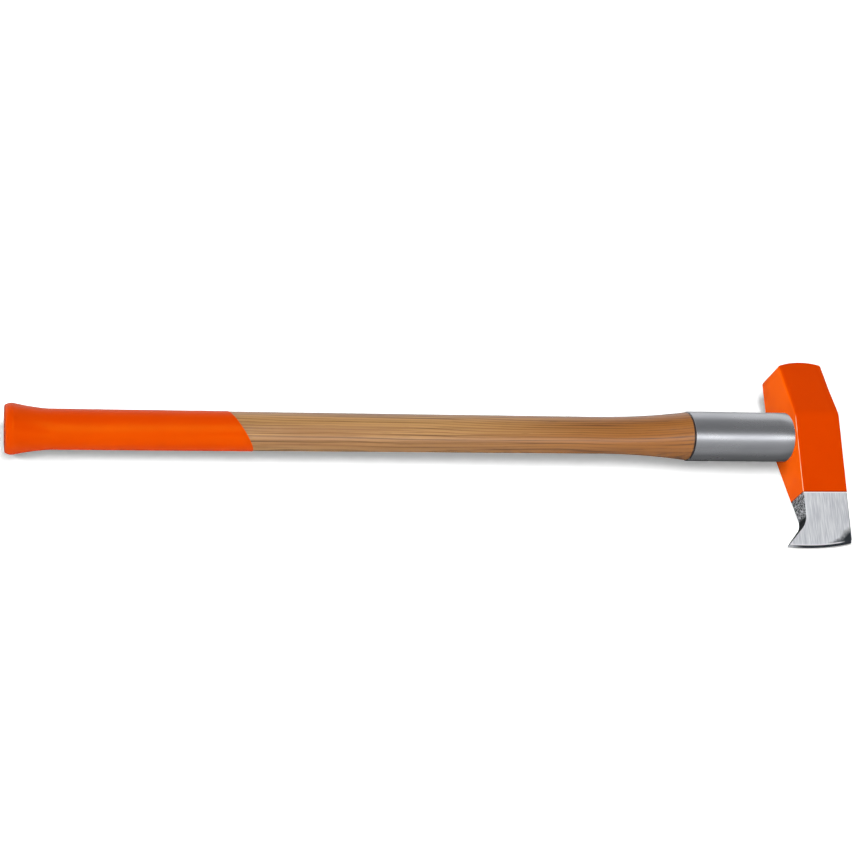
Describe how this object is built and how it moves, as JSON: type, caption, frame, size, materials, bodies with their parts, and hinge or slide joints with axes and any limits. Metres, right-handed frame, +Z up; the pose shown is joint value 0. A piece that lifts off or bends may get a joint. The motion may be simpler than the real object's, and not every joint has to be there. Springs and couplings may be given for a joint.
{
  "type": "splitting maul",
  "caption": "Long-handled splitting maul lying on its side: a heavy painted wedge head with a turning hook, a metal guard sleeve and a straight wooden handle with a dipped grip.",
  "frame": {"origin": "middle of the maul's outline on the surface that it lies on", "axes": "+X along the handle towards the head, -Y towards the cutting edge, +Z up; the maul lies on its lower cheek and its knob"},
  "size_m": [0.8507, 0.2042, 0.0681],
  "materials": {
    "ground_steel": "ground along the blade",
    "head_paint": "semi-gloss orange paint",
    "sleeve_metal": "satin, turned",
    "handle_wood": "clear-lacquered ash",
    "grip_coating": "semi-gloss dipped coating",
    "wedge_wood": "raw hardwood",
    "wedge_steel": "plain"
  },
  "bodies": {
    "root": {"head": "ground_steel", "head_paint": "head_paint", "sleeve": "sleeve_metal", "handle": "handle_wood", "grip_coating": "grip_coating", "kerf_wedge": "wedge_wood", "ring_wedge_poll": "wedge_steel", "ring_wedge_bit": "wedge_steel"}
  },
  "joints": []
}
